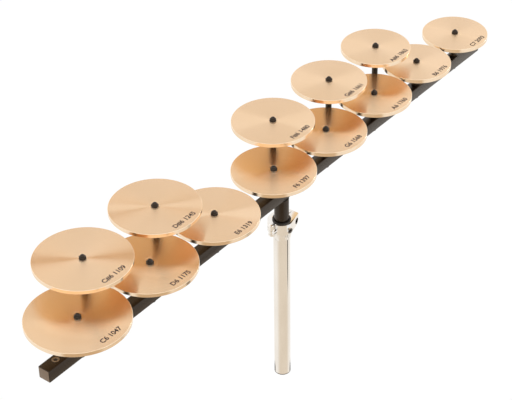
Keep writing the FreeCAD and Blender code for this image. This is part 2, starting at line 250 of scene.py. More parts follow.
def bronzeFace(name, deep, light):
    # fine lathe rings: U of the turning map is the radius, so the rings stay round on every disc
    material, tree, shader = startMaterial(name)
    turning = addNode(tree, "ShaderNodeUVMap", uv_map="turning")
    parts = addNode(tree, "ShaderNodeSeparateXYZ", {"Vector": turning.outputs["UV"]})
    radius = addNode(tree, "ShaderNodeCombineXYZ", {"X": parts.outputs["X"]})
    fine = addNode(tree, "ShaderNodeTexNoise", {"Vector": radius.outputs["Vector"], "Detail": 2.0,
                                               "Scale": bronze["fineRings"]})
    broad = addNode(tree, "ShaderNodeTexNoise", {"Vector": radius.outputs["Vector"], "Detail": 3.0,
                                                "Scale": bronze["broadRings"]})
    cloud = objectNoise(tree, 14.0, 3.0)
    tone = addNode(tree, "ShaderNodeMath", {0: broad.outputs["Fac"], 1: cloud}, operation="MULTIPLY")
    level = stretchRange(tree, tone.outputs["Value"], 0.0, 1.0, 0.1, 0.42)
    tree.links.new(mixColour(tree, level, deep, light), shader.inputs["Base Color"])
    rough = stretchRange(tree, fine.outputs["Fac"], *bronze["faceRoughness"])
    tree.links.new(rough, shader.inputs["Roughness"])
    bump = addNode(tree, "ShaderNodeBump", {"Strength": 0.5, "Distance": bronze["grooveDepth"],
                                           "Height": fine.outputs["Fac"]})
    tree.links.new(bump.outputs["Normal"], shader.inputs["Normal"])
    tangent = addNode(tree, "ShaderNodeTangent", direction_type="UV_MAP", uv_map="turning")
    tree.links.new(tangent.outputs["Tangent"], shader.inputs["Tangent"])
    shader.inputs["Metallic"].default_value = 1.0
    shader.inputs["Anisotropic"].default_value = bronze["anisotropy"]
    return material


def bronzeRim(name, low, high):
    # the rim is cut smoother than the face and picks up clearer reflections; its colours are painted: paler
    # than the face on the wall as a painted reflection, lighter still on the edges as a painted highlight
    material, tree, shader = startMaterial(name)
    lines = objectNoise(tree, 60.0, 4.0, 0.6, (1, 1, 24))
    level = stretchRange(tree, lines, 0.0, 1.0, 0.3, 0.7)
    tree.links.new(mixColour(tree, level, low, high), shader.inputs["Base Color"])
    rough = stretchRange(tree, lines, *bronze["rimRoughness"])
    tree.links.new(rough, shader.inputs["Roughness"])
    bump = addNode(tree, "ShaderNodeBump", {"Strength": 0.25, "Distance": 0.00002, "Height": lines})
    tree.links.new(bump.outputs["Normal"], shader.inputs["Normal"])
    shader.inputs["Metallic"].default_value = 1.0
    return material


def coatedMetal(name, low, high, rough, grain, depth, metallic=0.0, tint=(1, 1, 1), ior=1.5):
    # painted or oxidised metal: soft colour drift, fine grain in the gloss and the surface
    material, tree, shader = startMaterial(name)
    drift = objectNoise(tree, 18.0, 4.0)
    fine = objectNoise(tree, grain, 3.0, 0.6)
    level = stretchRange(tree, drift, 0.0, 1.0, 0.3, 0.7)
    tree.links.new(mixColour(tree, level, low, high), shader.inputs["Base Color"])
    tree.links.new(stretchRange(tree, fine, *rough, 0.3, 0.7), shader.inputs["Roughness"])
    bump = addNode(tree, "ShaderNodeBump", {"Strength": 0.35, "Distance": depth, "Height": fine})
    tree.links.new(bump.outputs["Normal"], shader.inputs["Normal"])
    shader.inputs["Metallic"].default_value = metallic
    shader.inputs["Specular Tint"].default_value = (*tint, 1)
    shader.inputs["IOR"].default_value = ior
    return material


def polishedChrome():
    # plated metal with a trace of handling marks in its gloss
    material, tree, shader = startMaterial("polishedChrome")
    smear = objectNoise(tree, 35.0, 4.0, 0.6, (1, 1, 0.3))
    level = stretchRange(tree, smear, 0.0, 1.0, 0.35, 0.65)
    tone = mixColour(tree, level, (0.86, 0.835, 0.80), (0.93, 0.915, 0.89))
    tree.links.new(tone, shader.inputs["Base Color"])
    tree.links.new(stretchRange(tree, smear, 0.05, 0.13, 0.35, 0.7), shader.inputs["Roughness"])
    shader.inputs["Metallic"].default_value = 1.0
    return material


def pressedFelt():
    material, tree, shader = startMaterial("pressedFelt")
    fibre = objectNoise(tree, 1800.0, 5.0, 0.7)
    tone = mixColour(tree, fibre, (0.03, 0.03, 0.03), (0.12, 0.115, 0.11))
    tree.links.new(tone, shader.inputs["Base Color"])
    tree.links.new(stretchRange(tree, fibre, 0.85, 1.0), shader.inputs["Roughness"])
    bump = addNode(tree, "ShaderNodeBump", {"Strength": 0.9, "Distance": 0.0002, "Height": fibre})
    tree.links.new(bump.outputs["Normal"], shader.inputs["Normal"])
    shader.inputs["Sheen Weight"].default_value = 0.3
    return material


faceBronze = bronzeFace("turnedBronze", bronze["deep"], bronze["light"])
# painted light: the underside is lighter and oranger than the face, so the lower discs reflect it bright
underPaintedLightBronze = bronzeFace("turnedBronzeUnderPaintedLight", bronze["underPaintedDeep"], bronze["underPaintedLight"])
# painted reflection: the rim wall, cut smoother than the face, is coloured paler than the face
rimPaintedReflectionBronze = bronzeRim("bronzeRim", bronze["rimPaintedLow"], bronze["rimPaintedHigh"])
# painted highlight: the broken edges are lighter than the wall, a bright line along the rim
edgeHighlightBronze = bronzeRim("bronzeEdgePaintedHighlight", bronze["edgeHighlightLow"], bronze["edgeHighlightHigh"])
warmTint = (1.0, 0.80, 0.62)
oxideTint = (1.0, 0.84, 0.70)
barPaint = coatedMetal("satinBarPaint", (0.006, 0.003, 0.002), (0.012, 0.007, 0.004),
                       rough=(0.24, 0.34), grain=900.0, depth=0.00003, tint=warmTint)
# painted light: the bar's end faces get a lighter colour than the satin paint, standing in for light falling
# on them
barEndPaintedLight = coatedMetal("barEndPaintedLight", (0.150, 0.105, 0.070), (0.200, 0.140, 0.095),
                      rough=(0.40, 0.55), grain=900.0, depth=0.00003, tint=warmTint)
blackMetal = coatedMetal("satinBlackMetal", (0.006, 0.004, 0.003), (0.012, 0.008, 0.005),
                         rough=(0.26, 0.36), grain=1200.0, depth=0.00002, tint=warmTint)
bronzedSteel = coatedMetal("bronzedSteel", (0.24, 0.18, 0.125), (0.36, 0.28, 0.20),
                           rough=(0.30, 0.45), grain=1200.0, depth=0.00002, metallic=0.8)
blackOxide = coatedMetal("blackOxide", (0.012, 0.009, 0.007), (0.026, 0.020, 0.016),
                         rough=(0.10, 0.18), grain=1600.0, depth=0.00001, tint=oxideTint, ior=1.38)
blackNylon = coatedMetal("blackNylon", (0.010, 0.008, 0.007), (0.020, 0.016, 0.013),
                         rough=(0.34, 0.50), grain=1400.0, depth=0.00003)
zincSteel = coatedMetal("zincSteel", (0.50, 0.50, 0.48), (0.66, 0.66, 0.64),
                        rough=(0.24, 0.40), grain=1500.0, depth=0.00002, metallic=1.0)
engraving = coatedMetal("engravedMark", (0.020, 0.008, 0.004), (0.040, 0.018, 0.010),
                        rough=(0.55, 0.75), grain=2500.0, depth=0.00001)
# painted reflection: dark metal for the tube's lower lip, standing in for the dark crescent it reflects
lipPaintedReflection = coatedMetal("tubeLipPaintedReflection", (0.10, 0.08, 0.06), (0.20, 0.16, 0.12),
                        rough=(0.25, 0.40), grain=1500.0, depth=0.00002, metallic=1.0)
chrome = polishedChrome()
felt = pressedFelt()
print("materials ready")


disc = {"bore": 3.05, "bossR": 11.0, "bossHeight": 2.5, "edge": 0.4, "seat": 10.7, "steps": 176}
tuning = {"lowC": 1046.5, "plate": 912.4}  # Hz, and the metres per second of a free bronze plate
semitones = {"c": 0, "c_sharp": 1, "d": 2, "d_sharp": 3, "e": 4, "f": 5, "f_sharp": 6, "g": 7, "g_sharp": 8,
             "a": 9, "a_sharp": 10, "b": 11, "c_high": 12}


def notePitch(name):
    return tuning["lowC"] * 2 ** (semitones[name] / 12)


def plateThickness(name, diameter):
    # in mm: at this thickness a disc of this diameter sounds its note
    return 1000 * notePitch(name) * (diameter / 2000) ** 2 / tuning["plate"]


def discProfile(r, h):
    b, e, seat = disc["bossR"], disc["edge"], disc["seat"]
    low = -disc["bossHeight"]
    under = [(disc["bore"], low), (b - 1.1, low)] + corner(b - 0.9, low + 0.9, 0.9, -90) + [(b, -0.95)]
    under += [(b + 0.1, -0.5), (b + 0.4, -0.15), (b + 0.9, 0.0), (b + 1.1, 0.0)]
    under += [(b + (r - b) * t, 0.0) for t in (0.3, 0.6, 0.9)] + [(r - e - 0.12, 0.0)]
    rim = corner(r - e, e, e, -90) + [(r, e + 0.12), (r, h / 2), (r, h - e - 0.12)]
    rim += corner(r - e, h - e, e, 0)
    face = [(r - e - 0.12, h)] + [(r * t, h) for t in (0.93, 0.8, 0.64, 0.48, 0.34)] + [(seat + 0.4, h)]
    face += [(seat + 0.25, h), (seat + 0.1, h - 0.1), (seat - 0.1, h - 0.1), (seat - 0.25, h)]
    face += [(seat - 0.4, h)]
    bore = [(disc["bore"] + 0.6, h), (disc["bore"] + 0.4, h), (disc["bore"], h - 0.4), (disc["bore"], h / 2)]
    return under + rim + face + bore + [(disc["bore"], low)]


def mapTurning(piece, x, y, z, outerR):
    # U is the distance from the disc's axis, V the angle; faces across the seam keep their angles together
    # the wall, the broken edges and the underside get materials of their own: the wall is cut smoother and
    # painted paler as a painted reflection, the edges carry a painted highlight, and the underside is painted
    # lighter as painted light
    layer = piece.data.uv_layers.active or piece.data.uv_layers.new(name="turning")
    layer.name = "turning"
    vertices = piece.data.vertices
    polar = []
    for v in vertices:
        dx, dy = v.co.x - x * mm, v.co.y - y * mm
        polar.append((math.hypot(dx, dy), math.atan2(dy, dx) / (2 * math.pi)))
    for face in piece.data.polygons:
        angles = [polar[i][1] for i in face.vertices]
        seam = max(angles) - min(angles) > 0.5
        for loop, i in zip(face.loop_indices, face.vertices):
            r, a = polar[i]
            layer.data[loop].uv = (r / bronze["ringMetres"], a + 1 if seam and a < 0 else a)
        inner = min(polar[i][0] for i in face.vertices)
        if inner > (outerR - 0.01) * mm:
            face.material_index = 1
        elif inner > (outerR - disc["edge"] - 0.01) * mm:
            face.material_index = 2
        elif max(vertices[i].co.z for i in face.vertices) < (z + 0.1) * mm:
            face.material_index = 3


def makeCrotale(name, note, x, y, z, diameter):
    r, h = diameter / 2, plateThickness(name, diameter)
    piece = turnPiece("crotale_" + name + "_disc", discProfile(r, h), disc["steps"], 28)
    placePiece(piece, x, y, z)
    for finish in (faceBronze, rimPaintedReflectionBronze, edgeHighlightBronze, underPaintedLightBronze):
        piece.data.materials.append(finish)
    mapTurning(piece, x, y, z, r)
    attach(piece, "crotale_" + name)
    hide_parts("crotale_" + name)
    makeNoteMark(name, note, x, y - r * noteMark["reach"], z + h)


noteMark = {"height": 10.6, "reach": 0.81, "depth": 0.04, "boldness": 0.26}


def makeNoteMark(name, note, x, y, z):
    # the note and its pitch, cut in plain letters on the player's side of the face
    deselectAll()
    bpy.ops.object.text_add(location=(0, 0, 0))
    mark = bpy.context.active_object
    mark.data.body = note + " " + str(int(notePitch(name) + 0.5))
    mark.data.offset = noteMark["boldness"] * mm
    mark.data.align_x = "CENTER"
    mark.data.align_y = "CENTER"
    mark.data.size = noteMark["height"] * mm
    mark.data.extrude = noteMark["depth"] / 2 * mm
    bpy.ops.object.convert(target="MESH")
    mark = rename(bpy.context.active_object, "noteMark_" + name)
    placePiece(mark, x, y, z + noteMark["depth"] / 2)
    tidyShell(mark, 30, recalc=False)
    finishPiece(mark, "crotale_" + name, "black_metal", engraving)


stations = []
for name, note, x, diameter in lowerRow:
    stations.append((name, note, x, 0.0, rack["lowerZ"], diameter))
for name, note, x, diameter in raisedRow:
    stations.append((name, note, x, rack["raisedY"], rack["raisedZ"], diameter))
for name, note, x, y, z, diameter in stations:
    makeCrotale(name, note, x, y, z, diameter)
print("crotales ready")


nut = {"flats": 9.5, "height": 5.8, "dome": 3.95, "shoulder": 2.4, "boreR": 3.03, "boreDepth": 3.4,
       "play": 0.05, "edge": 0.12}


def domeProfile(steps=9):
    rise = nut["height"] - nut["shoulder"]
    ball = (nut["dome"] ** 2 + rise ** 2) / (2 * rise)
    half = math.asin(nut["dome"] / ball)
    arc = []
    for i in range(steps):
        a = half * (1 - i / steps)
        arc.append((ball * math.sin(a), nut["height"] - ball + ball * math.cos(a)))
    skirt = [(nut["boreR"], 0), (4.6, 0), (5.5, 0.45), (5.5, 1.7)]
    return skirt + arc + [(0, nut["height"]), (0, nut["boreDepth"] + 0.5), (nut["boreR"], nut["boreDepth"]),
                          (nut["boreR"], 0)]


def makeCapNut():
    body = addCylinder("capNut", nut["flats"] / math.sqrt(3), nut["height"] + 2, 0, 0, nut["height"] / 2, 6)
    body = cutWith(body, turnPiece("nutShape", domeProfile(), 72), "INTERSECT")
    return tidyShell(breakEdges(body, nut["edge"], 2, 24), 30)


def makeHexNut(name, flats, thickness, boreR):
    tip = flats / math.sqrt(3)
    face = flats * 0.475
    slope = (tip - face) * 0.6
    body = addCylinder(name, tip, thickness + 2, 0, 0, thickness / 2, 6)
    shape = [(boreR + 0.3, 0), (face, 0), (tip + 0.05, slope), (tip + 0.05, thickness - slope),
             (face, thickness), (boreR + 0.3, thickness), (boreR, thickness - 0.3), (boreR, 0.3),
             (boreR + 0.3, 0)]
    body = cutWith(body, turnPiece(name + "Shape", shape, 64), "INTERSECT")
    return tidyShell(breakEdges(body, nut["edge"], 2, 24), 24)


def ringProfile(outer, inner, height, edge):
    rim = edge * 0.3
    return [(inner, edge), (inner + edge, 0), (outer - edge, 0), (outer - rim, rim), (outer, edge),
            (outer, height - edge), (outer - rim, height - rim), (outer - edge, height),
            (inner + edge, height), (inner, height - edge), (inner, edge)]


topRing = {"outer": 5.2, "inner": 3.1, "height": 0.5, "edge": 0.12}
feltRing = {"outer": 8.0, "inner": 3.1, "height": 1.5, "edge": 0.4}
capNutPlaces, topWasherPlaces, feltPlaces = [], [], []
for i, (name, note, x, y, z, diameter) in enumerate(stations):
    top = z + plateThickness(name, diameter) + nut["play"]
    capNutPlaces.append((x, y, top + topRing["height"], 17 + 23 * i))
    topWasherPlaces.append((x, y, top, 0))
    feltPlaces.append((x, y, z - disc["bossHeight"] - nut["play"] - feltRing["height"], 0))
capNuts = repeatPiece(makeCapNut(), "capNuts", capNutPlaces)
finishPiece(capNuts, "rack", "black_fastener", blackOxide, "cap_nuts")
topWasher = turnPiece("topWasher", ringProfile(**topRing), 48)
topWashers = repeatPiece(topWasher, "topWashers", topWasherPlaces)
finishPiece(topWashers, "rack", "black_plastic", blackNylon, "top_washers")
feltWasher = turnPiece("feltWasher", ringProfile(**feltRing), 48)
feltWashers = repeatPiece(feltWasher, "feltWashers", feltPlaces)
finishPiece(feltWashers, "rack", "felt", felt, "felt_washers")

# the sleeves stand on the bar and carry the felt washers of the lower row
sleeve = {"bore": 3.06, "foot": 7.0, "waist": 5.5, "head": 8.0, "edge": 0.3}
sleeveTop = rack["lowerZ"] - disc["bossHeight"] - nut["play"] - feltRing["height"]
bore, foot, waist, head, edge = (sleeve[part] for part in ("bore", "foot", "waist", "head", "edge"))
sleeveProfile = [(bore, barTop + edge), (bore + 0.34, barTop), (foot - edge, barTop),
                 (foot, barTop + edge), (foot, barTop + 1.5), (waist + 0.2, barTop + 2.5),
                 (waist, barTop + 3.2), (waist, sleeveTop - 4.0), (waist + 0.3, sleeveTop - 3.4),
                 (head - 0.3, sleeveTop - 2.1), (head, sleeveTop - 1.7), (head, sleeveTop - edge),
                 (head - edge, sleeveTop), (bore + 0.34, sleeveTop), (bore, sleeveTop - edge),
                 (bore, barTop + edge)]
sleevePlaces = [(x, 0, 0, 0) for name, note, x, diameter in lowerRow]
sleeves = repeatPiece(turnPiece("sleeve", sleeveProfile, 64), "spacerSleeves", sleevePlaces)
finishPiece(sleeves, "rack", "black_metal", blackMetal, "spacer_sleeves")

# the studs show their thread below the bar
stud = {"end": 2.3, "root": 2.55, "crest": 3.0, "r": 2.98, "below": 8.0, "turns": 8, "aboveDisc": 5.6,
        "intoNut": 2.9}
threadBottom = rack["barBottom"] - stud["below"]
studTop = rack["lowerZ"] + stud["aboveDisc"] + nut["play"] + topRing["height"] + stud["intoNut"]
studProfile = [(0, threadBottom), (stud["end"], threadBottom)]
for i in range(stud["turns"]):
    turnZ = threadBottom + i
    studProfile += [(stud["root"], turnZ + 0.35), (stud["crest"], turnZ + 0.75), (stud["r"], turnZ + 0.95)]
studProfile += [(stud["r"], studTop - 0.5), (2.5, studTop), (0, studTop)]
studs = repeatPiece(turnPiece("stud", studProfile, 40), "studs", sleevePlaces)
finishPiece(studs, "rack", "plain_steel", zincSteel, "studs")

barNut = {"thickness": 5.2}
barRing = {"outer": 6.3, "inner": 3.2, "height": 1.0, "edge": 0.2}
washerZ = rack["barBottom"] - barRing["height"]
barNutPlaces = [(x, 0, washerZ - barNut["thickness"], 11 + 31 * i)
                for i, (name, note, x, diameter) in enumerate(lowerRow)]
barNuts = makeHexNut("barNut", nut["flats"], barNut["thickness"], nut["boreR"])
barNuts = repeatPiece(barNuts, "barNuts", barNutPlaces)
finishPiece(barNuts, "rack", "black_fastener", blackOxide, "bar_nuts")
barWasherPlaces = [(x, 0, washerZ, 0) for name, note, x, diameter in lowerRow]
barWasher = turnPiece("barWasher", ringProfile(**barRing), 48)
barWashers = repeatPiece(barWasher, "barWashers", barWasherPlaces)
finishPiece(barWashers, "rack", "black_fastener", blackOxide, "bar_washers")
print("nuts and washers ready")


bar = {"low": -503.8, "high": 529.7, "edge": 0.9, "insertX": -481.0, "insertHole": 3.85}
barMiddle = rack["barBottom"] + rack["barSide"] / 2
barPiece = addBlock("squareBar", ((bar["low"] + bar["high"]) / 2, 0, barMiddle),
                    (bar["high"] - bar["low"], rack["barSide"], rack["barSide"]))
breakEdges(barPiece, bar["edge"], 3, 40)
cutWith(barPiece, addCylinder("insertHole", bar["insertHole"], 30, bar["insertX"], 0, barTop - 10, 48))
tidyShell(barPiece, 30)
finishPiece(barPiece, "rack", "bar_paint", barPaint, "bar")
barPiece.data.materials.append(barEndPaintedLight)  # both end faces are painted lighter, as painted light on the ends
for face in barPiece.data.polygons:
    if abs(face.normal.x) > 0.99 and abs(face.center.x) > 0.5:
        face.material_index = 1

# a flanged insert with an M6 thread, open at both ends
insertTurns = 17
insertProfile = [(2.9, rack["barBottom"]), (3.6, rack["barBottom"]), (3.8, rack["barBottom"] + 0.2),
                 (3.8, barTop + 0.02), (5.1, barTop + 0.02), (5.3, barTop + 0.2), (5.25, barTop + 0.6),
                 (4.9, barTop + 0.88), (3.3, barTop + 0.88), (2.9, barTop + 0.7), (2.5, barTop + 0.1)]
for i in range(insertTurns):
    insertProfile += [(2.5, barTop - 0.6 - i), (2.75, barTop - 1.1 - i)]
insertProfile += [(2.5, barTop - 18.2), (2.5, rack["barBottom"] + 0.4), (2.9, rack["barBottom"])]
insert = placePiece(turnPiece("barInsert", insertProfile, 56), bar["insertX"], 0, 0)
finishPiece(insert, "rack", "plain_steel", bronzedSteel, "bar_insert")
print("bar ready")


post = {"r": 4.75, "bend": 16.0, "threadR": 3.95, "studR": 2.98, "inBar": 9.0, "edge": 0.5, "sides": 40}
lock = {"flats": 13.0, "thickness": 5.5, "boreR": 3.98}


def makePost():
    # a round rod pulled out of the bar's back, spun through a quarter turn and drawn up to its shoulder
    half, edge = rack["barSide"] / 2, post["edge"]
    startY = half + lock["thickness"] + 0.2
    bendY, bendZ = rack["raisedY"] - post["bend"], barMiddle + post["bend"]
    shoulder = rack["raisedZ"] - disc["bossHeight"] - nut["play"] - feltRing["height"]
    deselectAll()
    bpy.ops.mesh.primitive_circle_add(vertices=post["sides"], radius=post["threadR"] * mm, fill_type="NGON",
                                      location=(0, (half - post["inBar"]) * mm, barMiddle * mm),
                                      rotation=(math.pi / 2, 0, 0))
    piece = rename(bpy.context.active_object, "post")
    bpy.ops.object.transform_apply(location=True, rotation=True, scale=True)
    bpy.ops.object.mode_set(mode="EDIT")
    bpy.ops.mesh.select_all(action="SELECT")

    def drawOut(x, y, z):
        bpy.ops.mesh.extrude_region_move(TRANSFORM_OT_translate={"value": (x * mm, y * mm, z * mm)})

    def swell(fromR, toR, along):
        # the section lies across Y in the foot and across Z in the upright
        grow = toR / fromR
        if along == "Y":
            bpy.ops.transform.resize(value=(grow, 1, grow), center_override=(0, startY * mm, barMiddle * mm))
        else:
            bpy.ops.transform.resize(value=(grow, grow, 1),
                                     center_override=(0, rack["raisedY"] * mm, barMiddle * mm))

    drawOut(0, startY - half + post["inBar"], 0)
    drawOut(0, 0, 0)
    swell(post["threadR"], post["r"] - edge, "Y")
    drawOut(0, edge, 0)
    swell(post["r"] - edge, post["r"], "Y")
    drawOut(0, bendY - startY - edge, 0)
    bpy.ops.mesh.spin(steps=16, angle=-math.pi / 2, axis=(1, 0, 0), center=(0, bendY * mm, bendZ * mm))
    drawOut(0, 0, shoulder - edge - bendZ)
    drawOut(0, 0, edge)
    swell(post["r"], post["r"] - edge, "Z")
    drawOut(0, 0, 0)
    swell(post["r"] - edge, post["studR"], "Z")
    drawOut(0, 0, studTop + rack["raisedZ"] - rack["lowerZ"] - shoulder)
    bpy.ops.object.mode_set(mode="OBJECT")
    return tidyShell(piece, 35)


postPlaces = [(x, 0, 0, 0) for name, note, x, diameter in raisedRow]
posts = repeatPiece(makePost(), "raisedPosts", postPlaces)
finishPiece(posts, "rack", "black_metal", blackMetal, "posts")

lockNut = makeHexNut("lockNut", lock["flats"], lock["thickness"], lock["boreR"])
lockNuts = []
for i, (name, note, x, diameter) in enumerate(raisedRow):
    turn = turnAbout("X", -90) @ turnAbout("Z", 9 + 19 * i)
    copy = copyPiece(lockNut, "lockNut" + str(i))
    lockNuts.append(placePiece(copy, x, rack["barSide"] / 2, barMiddle, turn))
bpy.data.objects.remove(lockNut)
lockNuts = joinPieces(lockNuts, "postLockNuts")
finishPiece(lockNuts, "rack", "black_fastener", blackOxide, "post_lock_nuts")
print("posts ready")


mast = {"r": 11.1, "inner": 9.6, "bottom": 150.0, "top": 339.4}
mastProfile = [(mast["inner"], mast["bottom"]), (mast["r"] - 0.5, mast["bottom"]),
               (mast["r"], mast["bottom"] + 0.5), (mast["r"], 220), (mast["r"], 300),
               (mast["r"], mast["top"] - 0.7), (mast["r"] - 0.2, mast["top"] - 0.2),
               (mast["r"] - 0.7, mast["top"]), (mast["inner"], mast["top"]), (mast["inner"], mast["bottom"])]
mastPiece = turnPiece("mastTube", mastProfile, 112)
finishPiece(mastPiece, "mast", "black_metal", blackMetal, "mast")

tube = {"r": 12.7, "inner": 11.45, "neckR": 12.45, "neck": 268, "top": 282.5, "lip": 0.7}
tubeProfile = [(tube["inner"], -0.8), (tube["inner"] + 0.2, -1.0), (tube["r"] - 0.85, -1.0),
               (tube["r"] - 0.4, -0.88), (tube["r"] - 0.1, -0.55), (tube["r"], -0.05), (tube["r"], 1.0),
               (tube["r"], 60), (tube["r"], 130), (tube["r"], 200), (tube["r"], tube["neck"]),
               (tube["neckR"], tube["neck"]), (tube["neckR"], tube["top"]), (tube["inner"], tube["top"]),
               (tube["inner"], -0.8)]
tubePiece = turnPiece("chromeTube", tubeProfile, 128)
finishPiece(tubePiece, "stand", "chrome", chrome, "tube")
tubePiece.data.materials.append(lipPaintedReflection)  # the rolled lip at the lower end is painted dark, a painted reflection of the floor below it
for face in tubePiece.data.polygons:
    if face.center.z < tube["lip"] * mm:
        face.material_index = 1

plugProfile = [(0, -0.4), (3.8, -0.4), (4.2, -0.2), (4.5, 0), (9.6, 0), (10.6, 0.15), (11.2, 0.5),
               (11.43, 1.0), (11.43, 14), (9.4, 14), (9.4, 3), (0, 3)]
finishPiece(turnPiece("endPlug", plugProfile, 72), "stand", "black_plastic", blackNylon, "end_plug")


clamp = {"bottom": 281.5, "top": 299.5, "hingeX": -21.0, "hingeY": 2.5, "screwX": 20.9, "screwY": -10.15,
         "screwZ": 289.3, "nutY": 5.12, "seatShadeR": 5.3, "seatShadeY": -4.8, "smooth": 32, "edge": 0.35}


def smoothCopy(node, name):
    # a copy of the CAD solid with its triangles joined, its flats kept flat and its edges softened
    piece = copyPiece(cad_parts[node], name)
    piece.parent = None
    piece.matrix_world = Matrix.Identity(4)
    tidyShell(piece, clamp["smooth"], recalc=False)
    pick(piece)
    bpy.ops.object.mode_set(mode="EDIT")
    bpy.ops.mesh.select_all(action="SELECT")
    bpy.ops.mesh.dissolve_limited(angle_limit=math.radians(1.5))
    bpy.ops.object.mode_set(mode="OBJECT")
    return breakEdges(piece, clamp["edge"], 2, 40)


finishPiece(smoothCopy("clamp_socket", "clampSocket"), "stand", "chrome", chrome, "clamp_socket")
jaw = finishPiece(smoothCopy("clamp_jaw", "clampJaw"), "jaw", "chrome", chrome, "clamp_jaw")

# the screw's sunk seat is painted black: painted shade in the recess
jaw.data.materials.append(blackOxide)
for face in jaw.data.polygons:
    points = [jaw.data.vertices[i].co for i in face.vertices]
    across = max(math.hypot(c.x - clamp["screwX"] * mm, c.z - clamp["screwZ"] * mm) for c in points)
    if across < clamp["seatShadeR"] * mm and max(c.y for c in points) < clamp["seatShadeY"] * mm:
        face.material_index = 1

pinProfile = [(0, clamp["bottom"] - 0.6), (2.1, clamp["bottom"] - 0.6), (2.5, clamp["bottom"] - 0.2),
              (2.5, clamp["top"] + 0.02), (3.4, clamp["top"] + 0.02), (3.6, clamp["top"] + 0.2),
              (3.6, clamp["top"] + 0.7), (3.2, clamp["top"] + 1.1), (2.4, clamp["top"] + 1.3),
              (0, clamp["top"] + 1.3)]
pin = placePiece(turnPiece("hingePin", pinProfile, 56), clamp["hingeX"], clamp["hingeY"], 0)
finishPiece(pin, "stand", "chrome", chrome, "hinge_pin")

flangeTop = clamp["top"] + 1.62
bushProfile = [(11.15, clamp["bottom"] + 1.2), (12.36, clamp["bottom"] + 1.2), (12.56, clamp["bottom"] + 1.4),
               (12.56, clamp["top"] + 0.02), (14.0, clamp["top"] + 0.02), (14.2, clamp["top"] + 0.2),
               (14.2, flangeTop - 0.5), (14.05, flangeTop - 0.15), (13.7, flangeTop), (11.7, flangeTop),
               (11.3, flangeTop - 0.15), (11.15, flangeTop - 0.5), (11.15, clamp["bottom"] + 1.2)]
bush = turnPiece("flangedBush", bushProfile, 112)
tab = addBlock("bushTab", (-14.0, 0, clamp["bottom"] + 11.4), (3.4, 0.6, 13.4))  # keeps the bush from turning
bush = joinPieces([bush, breakEdges(tab, 0.1, 2, 40)], "flangedBush")
finishPiece(bush, "stand", "black_plastic", blackNylon, "bush")

screwProfile = [(0, 0), (3.5, 0), (4.0, 0.2), (4.2, 0.6), (4.2, 4.8), (4.0, 5.0), (3.0, 5.0),
                (3.0, 15.2), (2.6, 15.25), (2.6, 15.6), (3.0, 15.9), (3.0, 20.6), (2.5, 21.2), (0, 21.2)]
screw = turnPiece("clampScrew", screwProfile, 64)
socketTool = addCylinder("socketTool", 4.0 / math.sqrt(3), 6.0, 0, 0, 0, 6)
screw = tidyShell(breakEdges(cutWith(screw, socketTool), 0.08, 2, 35), 30)
screw = placePiece(screw, clamp["screwX"], clamp["screwY"], clamp["screwZ"], turnAbout("X", -90))
finishPiece(screw, "clamp_screw", "black_fastener", blackOxide, "clamp_screw")

clampNut = makeHexNut("clampNut", 10.0, 5.0, 3.05)
clampNut = placePiece(clampNut, clamp["screwX"], clamp["nutY"], clamp["screwZ"], turnAbout("X", -90))
finishPiece(clampNut, "stand", "plain_steel", zincSteel, "clamp_nut")

# a small socket screw, sunk in the front of the jaw and square to its surface there
grubSeat = {"x": -4.0, "y": -19.2, "below": 10.8, "way": (0.2, 1, 0), "sunk": 0.6}
grubProfile = [(0, 0), (2.1, 0), (2.5, 0.4), (2.5, 4.2), (2.1, 4.6), (0, 4.6)]
grub = turnPiece("jawScrew", grubProfile, 48)
grubTool = addCylinder("grubTool", 2.6 / math.sqrt(3), 4.4, 0, 0, 0, 6)
grub = tidyShell(breakEdges(cutWith(grub, grubTool), 0.06, 2, 35), 30)
lean = math.degrees(math.atan2(grubSeat["way"][0], grubSeat["way"][1]))
mouth = Vector((grubSeat["x"], grubSeat["y"], clamp["top"] - grubSeat["below"]))
mouth += Vector(grubSeat["way"]).normalized() * grubSeat["sunk"]
grub = placePiece(grub, mouth.x, mouth.y, mouth.z, turnAbout("Z", -lean) @ turnAbout("X", -90))
finishPiece(grub, "jaw", "black_fastener", blackOxide, "jaw_screw")
print("stand ready")

# the CAD nodes that stay are inside or under other pieces; each gets the finish of its kind
keptNodes = {"mast_plug": zincSteel, "guide_collar": blackNylon, "mast_screw": blackOxide,
             "screw_washer": blackOxide, "thrust_washer": blackNylon}
for nodeName, material in keptNodes.items():
    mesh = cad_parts[nodeName].data
    if not mesh.materials:
        mesh.materials.append(material)
    for i in range(len(mesh.materials)):
        mesh.materials[i] = material


stage = {"floorZ": -0.42, "floorSize": 9.0, "floorColour": (0.93, 0.93, 0.93), "white": 1.0,
         "shadowShare": 0.06, "back": (0.78, 0.625, 0.0), "side": (0.617, -0.787, 0.0)}

# what the metal sees of the floor: tones, and where each begins and ends by direction or by reach in metres
floorTone = {"cream": (0.97, 0.925, 0.865), "beige": (0.79, 0.675, 0.535), "dark": (0.09, 0.075, 0.06),
             "brown": (0.62, 0.47, 0.31), "beigeWay": (-0.595, -0.808, 0.0), "beigeSector": (-0.15, 0.80),
             "patchWay": (0.35, 0.65), "patchReach": (0.485, 0.505), "wedgeWay": (0.561, -0.829, 0.0),
             "wedgeEdge": (1.0150, 1.0195), "wedgeWidening": 0.03, "wedgeStart": (0.70, 0.80),
             "wedgeEnd": (0.98, 1.04), "outerWay": (-0.1, 0.3), "outerReach": (1.06, 1.12),
             "outerSide": (0.46, 0.60)}

